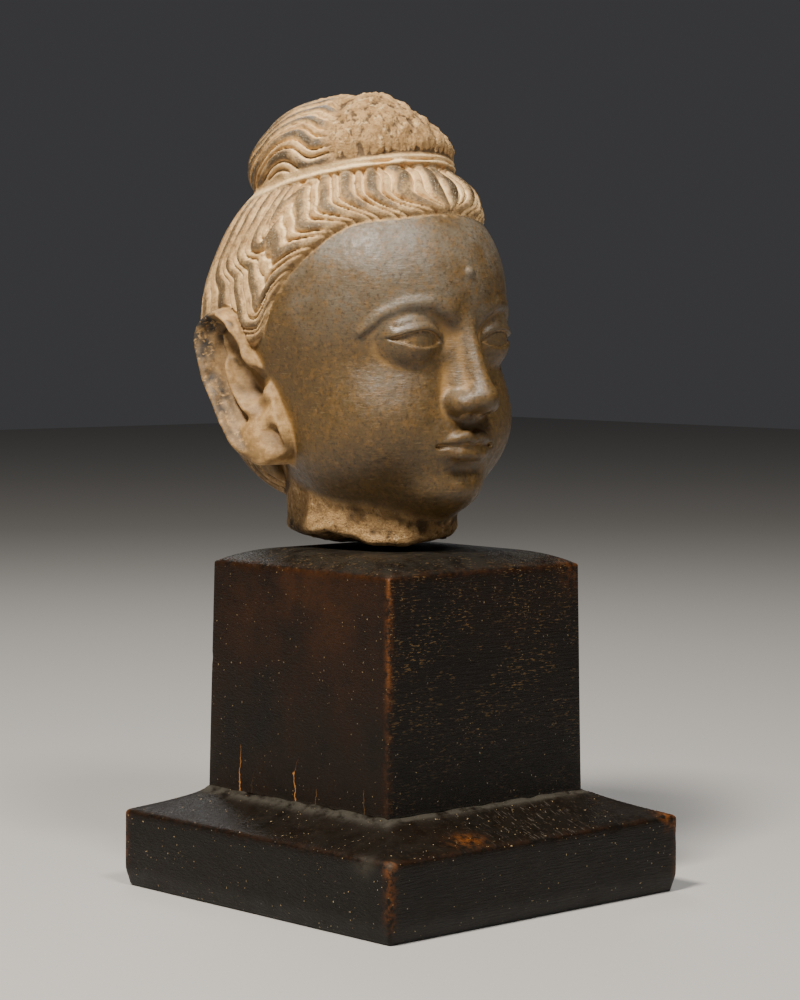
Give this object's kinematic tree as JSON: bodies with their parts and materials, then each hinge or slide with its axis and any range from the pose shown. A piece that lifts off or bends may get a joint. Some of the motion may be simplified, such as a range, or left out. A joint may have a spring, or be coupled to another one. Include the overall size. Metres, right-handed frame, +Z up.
{
  "type": "stone buddha head",
  "caption": "Carved schist head of the Buddha with waved hair and a tied top-knot, broken at the neck, resting on a dark square wooden stand.",
  "frame": {"origin": "middle of the stand's underside, on the surface that the object stands on", "axes": "+Z up, -Y the way the face looks, +X to the head's own left"},
  "size_m": [0.1764, 0.1963, 0.3527],
  "materials": {
    "schist": "grey-brown schist, hand-polished on the face, with a pale buff deposit in the carving",
    "block_wood": "ebonised hardwood, satin wax, worn brown at the arrises",
    "base_wood": "ebonised hardwood, satin wax, small chips at the corners"
  },
  "bodies": {
    "root": {"head": "schist", "plinth_block": "block_wood", "plinth_base": "base_wood"}
  },
  "joints": []
}
